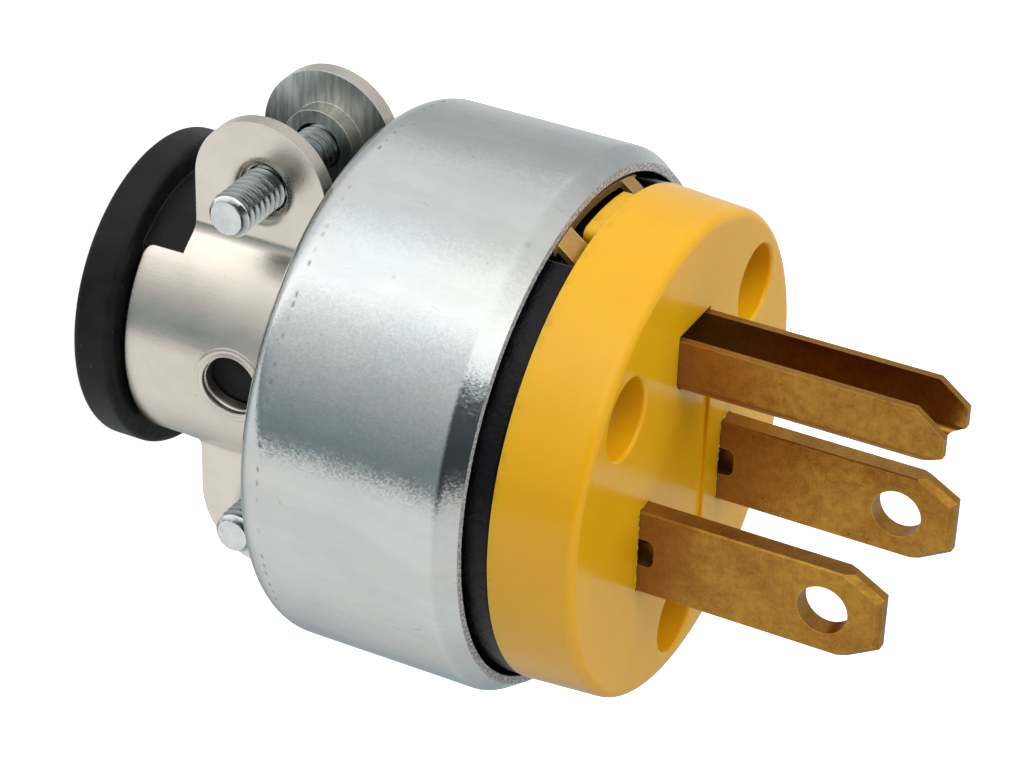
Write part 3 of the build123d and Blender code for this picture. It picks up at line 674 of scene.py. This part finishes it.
class Casing:
    """Drawn cup: press marks round its back corner, a drawn-in rim with a cut edge, and screw collars."""

    seed = 41
    steps_per_pit = 8
    mark_depths = (0.0, 0.35, 0.6, 0.8, 1.0)
    mark_slip = 0.25
    # The outline's points lie closer from this angle of the corner on, in degrees, and in rows above it
    close_from, close_gap = -15, 2
    close_row = 0.06 * MM
    corner_steps, close_steps = 11, 8
    wall_shares = (0.08, 0.15, 0.25, 0.4, 0.55, 0.7, 0.85)
    bend_steps, slope_steps, inner_steps = 8, 5, 6
    edge_round = 0.05 * MM
    # Share of the inner bend that stays below the cut edge
    bend_share = 0.9
    ripples_round = 2.2
    ripple_height = 9 * MM
    collar_count = 40
    opening_count = 180
    sharp_angle = math.radians(40)

    def __init__(self):
        self.size = sizes()
        low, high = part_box("steel_casing")
        self.radius, self.back, self.rim = high.x, low.z, high.z
        self.inside = self.radius - self.size.casing_wall
        self.floor = self.back + self.size.casing_wall
        self.wall_top = self.rim - self.size.rim_length
        self.count = self.size.pit_count * self.steps_per_pit
        rng = random.Random(self.seed)
        self.marks = [rng.choice(self.mark_depths) for _ in range(self.size.pit_count)]
        self.slips = [rng.uniform(-self.mark_slip, self.mark_slip) for _ in range(self.size.pit_count)]
        self.ticks = [rng.random() ** 2 for _ in range(self.count)]

    def outside(self):
        """Outline from the back corner up the wall to the drawn-in rim, as (radius, height)."""
        size = self.size
        corner = size.back_round
        centre = (self.radius - corner, self.back + corner)
        yield from arc(centre, corner, -90, self.close_from, self.corner_steps)
        yield from arc(centre, corner, self.close_from + self.close_gap, 0, self.close_steps)
        for step in range(1, self.close_steps):
            yield self.radius, centre[1] + self.close_row * step
        for share in self.wall_shares:
            yield self.radius, centre[1] + share * (self.wall_top - centre[1])
        bend = size.rim_bend
        across = math.atan2(size.rim_length, bend - size.rim_draw)
        reach = math.hypot(size.rim_length, bend - size.rim_draw)
        lean = math.degrees(across - math.acos(bend / reach))
        turned_in = list(arc((self.radius - bend, self.wall_top), bend, 0, lean, self.bend_steps))
        yield from turned_in
        start, end = Vector(turned_in[-1]), Vector((self.radius - size.rim_draw, self.rim))
        for step in range(1, self.slope_steps + 1):
            yield tuple(start.lerp(end, step / self.slope_steps))

    def edge(self):
        """Outline over the rim's cut edge."""
        outer = self.radius - self.size.rim_draw
        inner = outer - self.size.rim_edge
        lip = self.edge_round
        yield outer - lip, self.rim
        yield (outer + inner) / 2, self.rim
        yield inner + lip, self.rim
        yield inner, self.rim - lip

    def inner_wall(self):
        """Outline down the inside to the floor."""
        wall = self.size.casing_wall
        bend = (self.size.rim_length ** 2 + self.size.rim_edge ** 2) / (2 * self.size.rim_edge)
        lean = math.degrees(math.asin(self.size.rim_length / bend))
        yield from arc((self.inside - bend, self.wall_top), bend, self.bend_share * lean, 0, self.inner_steps)
        yield self.inside, self.floor + wall
        yield self.inside - wall, self.floor

    def pit(self, i, z):
        """Depth of the press marks at a column and height, from 0 to 1."""
        size = self.size
        index, step = divmod(i, self.steps_per_pit)
        pitch = FULL_TURN * self.radius / size.pit_count
        along = (step / self.steps_per_pit - 0.5 - self.slips[index]) * pitch / size.pit_length
        across = (z - self.back - size.back_round) / size.pit_width
        return self.marks[index] * math.exp(-along ** 4 - across ** 2)

    def skin(self, bm):
        """Ring of vertices for each point of the whole outline; returns the first and the last ring."""
        size = self.size
        spread = self.ripples_round
        pit_layer = bm.verts.layers.float.new("pit")
        rim_layer = bm.verts.layers.float.new("rim")
        rings = []
        for r, z in self.outside():
            points = ring(bm, r, z, self.count)
            for i, vert in enumerate(points):
                way = Vector((vert.co.x, vert.co.y, 0.0)).normalized()
                vert[pit_layer] = self.pit(i, z)
                swell = noise.noise(Vector((spread * way.x, spread * way.y, z / self.ripple_height)))
                vert.co += way * (size.ripple * swell - size.pit_depth * vert[pit_layer])
            rings.append(points)
        for r, z in self.edge():
            points = ring(bm, r, z, self.count)
            for i, vert in enumerate(points):
                tick = self.ticks[i - i % 2]
                vert[rim_layer] = 1.0
                vert.co.z -= size.rim_tick * tick
            rings.append(points)
        rings += [ring(bm, r, z, self.count) for r, z in self.inner_wall()]
        join_rings(bm, rings)
        return rings[0], rings[-1]

    def collar(self, bm, name):
        """Collar for one assembly screw; returns its rings at the back and at the floor."""
        size = self.size
        low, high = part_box(name)
        centre = ((low.x + high.x) / 2, (low.y + high.y) / 2)
        top = self.floor + size.collar_height
        hole, outer, lip = size.collar_hole, size.collar_radius, size.edge_break
        outline = ((hole + lip, self.back), (hole, self.back + lip), (hole, top - lip), (hole + lip, top),
                   (outer - lip, top), (outer, top - lip), (outer, self.floor))
        rings = [ring(bm, r, z, self.collar_count, centre) for r, z in outline]
        join_rings(bm, rings)
        return rings[0], rings[-1]

    def build(self):
        """Mesh of the whole casing."""
        bm = bmesh.new()
        ends = [self.skin(bm)]
        size = self.size
        outline = ((size.opening_radius + size.edge_break, self.back),
                   (size.opening_radius, self.back + size.edge_break), (size.opening_radius, self.floor))
        opening = [ring(bm, r, z, self.opening_count) for r, z in outline]
        join_rings(bm, opening)
        ends.append((opening[0], opening[-1]))
        ends += [self.collar(bm, name) for name in ASSEMBLY_SCREWS]
        fill_between(bm, [back for back, _ in ends])
        fill_between(bm, [floor for _, floor in ends])
        return finish_mesh("drawn_casing", bm, self.sharp_angle)


def thread_depth(phase):
    """Share of a thread's depth at a share of its pitch: flat crest, flank, flat root, flank."""
    phase %= 1.0
    if phase < CREST_END:
        return 0.0
    if phase < ROOT_START:
        return (phase - CREST_END) / (ROOT_START - CREST_END)
    if phase < ROOT_END:
        return 1.0
    return (1.0 - phase) / (1.0 - ROOT_END)


class Screw:
    """Slotted screw along +Z from under its head at the origin, with a cut thread."""

    around = 48
    depth_per_pitch = 0.58
    crown_steps = 6
    sharp_angle = math.radians(28)

    def __init__(self, radius, length, head_radius, head_height, pitch):
        self.radius, self.length, self.pitch = radius, length, pitch
        self.head_radius, self.head_height = head_radius, head_height
        self.depth = self.depth_per_pitch * pitch
        self.skirt = sizes().head_skirt

    def thread(self, bm):
        """Rows of vertices that follow the helix, cut off square at both ends."""
        # The depth of the thread at each vertex is the mask for painted shade in the roots
        layer = bm.verts.layers.float.new("root")
        turns = math.ceil(self.length / self.pitch)
        phases = (0.0, CREST_END, ROOT_START, ROOT_END)
        starts = [turn + phase for turn in range(-1, turns) for phase in phases]
        rows = []
        for start in starts + [turns]:
            rows.append([self.thread_point(bm, layer, start, i) for i in range(self.around + 1)])
        for lower, upper in zip(rows, rows[1:]):
            for i in range(self.around):
                bm.faces.new((lower[i], lower[i + 1], upper[i + 1], upper[i]))
        bm.faces.new(rows[-1][:self.around])
        return rows[0][:self.around]

    def thread_point(self, bm, layer, start, i):
        """Vertex of the row that starts at a number of turns, at one step round the screw."""
        share = i / self.around
        z = min(self.length, max(0.0, self.pitch * (start + share)))
        sunk = thread_depth(z / self.pitch - share)
        tip = self.radius - sizes().tip_chamfer + (self.length - z)
        r = min(tip, self.radius - self.depth * sunk)
        turn = FULL_TURN * share
        vert = bm.verts.new((r * math.cos(turn), r * math.sin(turn), z))
        vert[layer] = sunk if z < self.length else 0.0
        return vert

    def head(self, bm, base):
        """Pan head below the origin, closed on the shank's first ring."""
        lip = sizes().edge_break
        rise = self.head_height - self.skirt
        outline = [(self.head_radius - lip, 0.0), (self.head_radius, -lip)]
        outline += arc((self.head_radius - rise, -self.skirt), rise, 0, -90, self.crown_steps)
        rings = [base] + [ring(bm, r, z, self.around) for r, z in outline]
        join_rings(bm, rings)
        bm.faces.new(rings[-1])

    def slot(self, bm):
        """Cut the driver slot across the crown."""
        half = sizes().driver_slot / 2
        near = 0.001 * MM
        for side in (-1, 1):
            crown = [face for face in bm.faces if face.calc_center_median().z < -self.skirt - near]
            edges = [edge for face in crown for edge in face.edges]
            verts = [vert for face in crown for vert in face.verts]
            parts = list(dict.fromkeys([*crown, *edges, *verts]))
            cut = (0.0, side * half, 0.0)
            bmesh.ops.bisect_plane(bm, geom=parts, plane_co=cut, plane_no=(0.0, 1.0, 0.0))
        centres = [(face, face.calc_center_median()) for face in bm.faces]
        strip = [face for face, at in centres if at.z < -self.skirt - near and abs(at.y) < half]
        bmesh.ops.delete(bm, geom=strip, context="FACES")
        rim = {vert for edge in bm.edges if edge.is_boundary for vert in edge.verts}
        for side in (-1, 1):
            wall = [vert for vert in rim if abs(vert.co.y - side * half) < near]
            bm.faces.new(sorted(wall, key=lambda vert: vert.co.x))
        floor = [vert for vert in rim if abs(vert.co.z + self.skirt) < near]
        bm.faces.new(sorted(floor, key=lambda vert: math.atan2(vert.co.y, vert.co.x)))

    def build(self, name, place):
        """Mesh of the whole screw, moved to its place."""
        bm = bmesh.new()
        self.head(bm, self.thread(bm))
        weld(bm)
        self.slot(bm)
        bmesh.ops.transform(bm, matrix=place, verts=bm.verts)
        return finish_mesh(name, bm, self.sharp_angle)


def build_screw(name, axis, turn, shank, head, pitch):
    """Threaded screw in a plain one's place, its head at the high end of an axis."""
    low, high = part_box(name)
    across = axis - 1
    length = high[axis] - low[axis] - head
    screw = Screw(shank, length, (high[across] - low[across]) / 2, head, pitch)
    start = (low + high) / 2
    start[axis] = high[axis] - head
    return screw.build(name + "_threaded", Matrix.Translation(start) @ turn)


def lip_outline():
    """Section of a side hole's lip, as radius from the hole's axis and height above the tube."""
    size = sizes()
    hole, height = size.side_hole, size.lip_height
    edge, crest, bore = hole + size.lip_reach, hole + LIP_CREST * size.lip_reach, hole - LIP_SHEET
    yield edge, -LIP_STEP
    yield (edge + crest) / 2, LIP_CREST * height
    for step in range(LIP_RINGS + 1):
        turn = math.pi / 2 * step / LIP_RINGS
        yield crest - (crest - bore) * math.sin(turn), height - size.lip_depth * (1 - math.cos(turn))
    yield bore, -size.clamp_wall
    yield hole - LIP_STEP, -size.clamp_wall
    yield hole - LIP_STEP, -LIP_SUNK
    yield edge, -LIP_SUNK


def build_hole_lip(name, side):
    """Turned-in lip round the hole in one clamp half's side, following the tube."""
    size = sizes()
    low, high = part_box("cord_bushing")
    screw_low, screw_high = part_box(CLAMP_SCREWS[0])
    centre_y = (low.y + high.y) / 2
    centre_z = (screw_low.z + screw_high.z) / 2 + size.side_hole_rise
    bm = bmesh.new()
    rings = []
    for reach, height in lip_outline():
        points = []
        for i in range(LIP_POINTS):
            turn = FULL_TURN * i / LIP_POINTS
            lean = math.asin(reach * math.cos(turn) / size.clamp_radius)
            out = size.clamp_radius + height
            x, y, z = side * out * math.cos(lean), out * math.sin(lean), reach * math.sin(turn)
            points.append(bm.verts.new((x, centre_y + y, centre_z + z)))
        rings.append(points)
    join_rings(bm, rings + rings[:1])
    return finish_mesh(name, bm, sharp_angle=math.radians(40))


def flash_path(centre, half_x, half_y, step):
    """Points round a slot's edge with their outward directions."""
    corners = [(-half_x, -half_y), (half_x, -half_y), (half_x, half_y), (-half_x, half_y)]
    for (ax, ay), (bx, by) in zip(corners, corners[1:] + corners[:1]):
        length = math.hypot(bx - ax, by - ay)
        count = max(2, round(length / step))
        for i in range(count):
            share = i / count
            x, y = ax + (bx - ax) * share, ay + (by - ay) * share
            out = Vector((x / half_x, y / half_y, 0.0)).normalized()
            yield Vector((centre.x + x, centre.y + y, 0.0)), out


def build_flash():
    """Thin ragged flash that the mould leaves round the slots of the flat blades."""
    size = sizes()
    rng = random.Random(FLASH_SEED)
    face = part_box("face_body")[1].z
    half_x = size.blade_thickness / 2 + size.flash_width / 2
    half_y = size.blade_width / 2 + size.flash_width / 2
    bm = bmesh.new()
    for name in ("neutral_blade", "line_blade"):
        low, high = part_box(name)
        rows = []
        for point, out in flash_path((low + high) / 2, half_x, half_y, FLASH_SPACING):
            height = size.flash_height * rng.uniform(FLASH_LOWEST, 1.0) ** 2
            width = size.flash_width * rng.uniform(FLASH_THINNEST, 1.0) / 2
            rows.append([bm.verts.new((*(point + out * width).xy, face - FLASH_SUNK)),
                         bm.verts.new((*point.xy, face + height)),
                         bm.verts.new((*(point - out * width).xy, face - FLASH_SUNK))])
        join_rings(bm, rows + rows[:1])
    return finish_mesh("slot_flash", bm, sharp_angle=math.radians(60))


def stage_floor():
    """Plain pale floor."""
    studio = bpy.context.scene.plug_studio
    half = studio.floor_size / 2
    mesh = bpy.data.meshes.new("floor")
    corners = [(-half, -half, 0.0), (half, -half, 0.0), (half, half, 0.0), (-half, half, 0.0)]
    mesh.from_pydata(corners, [], [(0, 1, 2, 3)])
    material, shade, skin = new_material("pale_floor")
    tone = colours()
    cloud = shade.noise(shade.place(), scale=0.02, detail=2.0)
    shade.put(skin["Base Color"], shade.mix(cloud, opaque(tone.floor_low), opaque(tone.floor_high)))
    skin["Roughness"].default_value = 0.7
    skin["Emission Color"].default_value = (1.0, 1.0, 1.0, 1.0)
    skin["Emission Strength"].default_value = studio.floor_glow
    mesh.materials.append(material)
    floor = new_object("floor", mesh)
    floor.visible_glossy = False
    floor.visible_diffuse = False


def room_colour(level):
    """Colour of the room at a level, cooler where it is dark."""
    cool = min(1.0, max(0.0, (COOL_FROM - level) / (COOL_FROM - COOL_TO)))
    return [level * (1.0 + cool * (tint - 1.0)) for tint in COOL_TINT]


def room_band(shade, turn, levels):
    """Colours round the room for a share of a full turn."""
    band = shade.add("ShaderNodeValToRGB", {"Fac": turn})
    stops = band.color_ramp.elements
    for degrees, _ in levels[1:-1]:
        stops.new(degrees / 360)
    for stop, (_, level) in zip(stops, levels):
        stop.color = shaded(room_colour(level), 1 / BRIGHTEST)
    return band.outputs["Color"]


def stage_room():
    """Pale room with one long soft box, a dark flag beside it and an even light above."""
    studio = bpy.context.scene.plug_studio
    world = bpy.data.worlds.new("studio")
    world.use_nodes = True
    world.node_tree.nodes.clear()
    shade = Shade(world.node_tree)
    way = shade.add("ShaderNodeTexCoord").outputs["Generated"]
    part = shade.add("ShaderNodeSeparateXYZ", {0: way}).outputs
    turn = shade.math("DIVIDE", shade.math("ARCTAN2", part["Y"], part["X"]), FULL_TURN)
    turn = shade.math("FRACT", shade.math("ADD", turn, 1.0))
    walls, upper = [room_band(shade, turn, levels) for levels in (ROOM_LEVELS, UPPER_LEVELS)]
    colour = shade.mix(shade.ramp(part["Z"], UPPER_FROM, UPPER_TO), walls, upper)
    ceiling = opaque([studio.overhead / BRIGHTEST] * 3)
    colour = shade.mix(shade.ramp(part["Z"], CEILING_FROM, CEILING_TO), colour, ceiling)
    background = shade.add("ShaderNodeBackground", {"Color": colour, "Strength": BRIGHTEST})
    output = shade.add("ShaderNodeOutputWorld")
    world.node_tree.links.new(background.outputs[0], output.inputs["Surface"])
    bpy.context.scene.world = world


def stage_key():
    """Broad light that brightens the side of the ground pin without a mirror image in the metal."""
    studio = bpy.context.scene.plug_studio
    data = bpy.data.lights.new("key", "SUN")
    data.energy = studio.key_level
    data.angle = studio.key_spread
    key = new_object("key", data)
    key.rotation_euler = studio.key_turn
    key.visible_glossy = False


def stage_camera():
    """Camera at the photograph's viewing angle."""
    studio = bpy.context.scene.plug_studio
    data = bpy.data.cameras.new("camera")
    data.lens = studio.lens
    data.sensor_width = 36.0
    data.sensor_fit = "HORIZONTAL"
    data.clip_start = 0.01
    camera = new_object("camera", data)
    camera.location = studio.eye
    camera.rotation_euler = Euler(studio.turn, "XYZ")
    bpy.context.scene.camera = camera


class PLUG_OT_effects(bpy.types.Operator):
    """Build the shader effects that the finishes use"""

    bl_idname = "plug.effects"
    bl_label = "Shared effects"

    def execute(self, context):
        mottle_group()
        scratch_group()
        edge_group()
        speck_group()
        return {"FINISHED"}


class PLUG_OT_casing(bpy.types.Operator):
    """Build the drawn steel casing"""

    bl_idname = "plug.casing"
    bl_label = "Steel casing"

    def execute(self, context):
        add_piece("drawn_casing", Casing().build(), zinc_finish(), ["steel_casing"])
        return {"FINISHED"}


class PLUG_OT_body(bpy.types.Operator):
    """Finish the moulded body and add the flash round its slots"""

    bl_idname = "plug.body"
    bl_label = "Face body"

    def execute(self, context):
        yellow = yellow_finish()
        dress(["face_body"], yellow)
        add_piece("slot_flash", build_flash(), yellow)
        return {"FINISHED"}


class PLUG_OT_blacks(bpy.types.Operator):
    """Finish the liner and the rubber bushing"""

    bl_idname = "plug.blacks"
    bl_label = "Liner and bushing"

    def execute(self, context):
        tone = colours()
        liner = black_finish(
            "black_liner", tone.liner, rough=0.2, shine=0.18, grain_depth=0.035 * MM, dust_share=0.25)
        rubber = black_finish(
            "bushing_rubber", tone.rubber, rough=0.38, shine=0.14, grain_depth=0.015 * MM, dust_share=0.35)
        dress(["insulating_liner"], liner)
        dress(["cord_bushing"], rubber)
        return {"FINISHED"}


class PLUG_OT_blades(bpy.types.Operator):
    """Finish the blades, the ground strap and the terminal screws"""

    bl_idname = "plug.blades"
    bl_label = "Blades and terminals"

    def execute(self, context):
        tone = colours()
        blades = brass_finish("blade_brass", tone.brass, tone.tarnish, streak=(1.0, 0.15, 1.0), rough=0.32)
        strap = brass_finish("strap_brass", tone.strap, tone.brass, streak=(0.2, 1.0, 1.0), rough=0.26)
        dress(["neutral_blade", "line_blade", "ground_blade"], blades)
        dress(["ground_strap"], strap)
        dress(["line_terminal_screw"], terminal_finish("terminal_brass", tone.brass))
        dress(["neutral_terminal_screw"], terminal_finish("terminal_silver", tone.nickel))
        dress(["ground_terminal_screw"], terminal_finish("terminal_green", tone.green))
        return {"FINISHED"}


class PLUG_OT_clamp(bpy.types.Operator):
    """Finish the clamp halves and add the turned-in lips of their side holes"""

    bl_idname = "plug.clamp"
    bl_label = "Cord clamp"

    def execute(self, context):
        nickel = nickel_finish()
        dress(["near_clamp_half", "far_clamp_half"], nickel)
        for name, side in (("near_hole_lip", -1), ("far_hole_lip", 1)):
            add_piece(name, build_hole_lip(name, side), nickel)
        return {"FINISHED"}


class PLUG_OT_screws(bpy.types.Operator):
    """Build the clamp screws and the assembly screws with their threads"""

    bl_idname = "plug.screws"
    bl_label = "Screws"

    def execute(self, context):
        zinc = screw_finish()
        size = sizes()
        head_right = Matrix.Rotation(math.radians(-90), 4, "Y")
        head_up = Matrix.Rotation(math.pi, 4, "X")
        clamp = (X_AXIS, head_right, size.clamp_shank, size.clamp_head, size.clamp_pitch)
        assembly = (Z_AXIS, head_up, size.assembly_shank, size.assembly_head, size.assembly_pitch)
        for names, screw in ((CLAMP_SCREWS, clamp), (ASSEMBLY_SCREWS, assembly)):
            for name in names:
                add_piece(name + "_threaded", build_screw(name, *screw), zinc, [name])
        return {"FINISHED"}


class PLUG_OT_stage(bpy.types.Operator):
    """Set the floor, the light and the camera"""

    bl_idname = "plug.stage"
    bl_label = "Studio"

    def execute(self, context):
        stage_floor()
        stage_room()
        stage_key()
        stage_camera()
        context.scene.view_settings.view_transform = "Standard"
        return {"FINISHED"}


STEPS = (PLUG_OT_effects, PLUG_OT_casing, PLUG_OT_body, PLUG_OT_blacks, PLUG_OT_blades, PLUG_OT_clamp,
         PLUG_OT_screws, PLUG_OT_stage)


class PLUG_PT_panel(bpy.types.Panel):
    """Lists the steps that build the plug, and the sizes and colours that they use"""

    bl_idname = "PLUG_PT_panel"
    bl_label = "Armoured plug"
    bl_space_type = "VIEW_3D"
    bl_region_type = "UI"
    bl_category = "Plug"

    def draw(self, context):
        scene = context.scene
        for step in STEPS:
            self.layout.operator(step.bl_idname)
        for values in (scene.plug_sizes, scene.plug_colours, scene.plug_studio):
            for name in type(values).__annotations__:
                self.layout.prop(values, name)


CLASSES = (PlugSizes, PlugColours, PlugStudio, *STEPS, PLUG_PT_panel)


def register():
    """Register the classes and hang their values on the scene."""
    for cls in CLASSES:
        bpy.utils.register_class(cls)
    bpy.types.Scene.plug_sizes = PointerProperty(type=PlugSizes)
    bpy.types.Scene.plug_colours = PointerProperty(type=PlugColours)
    bpy.types.Scene.plug_studio = PointerProperty(type=PlugStudio)


def unregister():
    """Undo what register does."""
    del bpy.types.Scene.plug_sizes
    del bpy.types.Scene.plug_colours
    del bpy.types.Scene.plug_studio
    for cls in reversed(CLASSES):
        bpy.utils.unregister_class(cls)


def main():
    """Register the add-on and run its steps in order."""
    register()
    for step in STEPS:
        group, action = step.bl_idname.split(".")
        getattr(getattr(bpy.ops, group), action)()


if __name__ == "__main__":
    main()
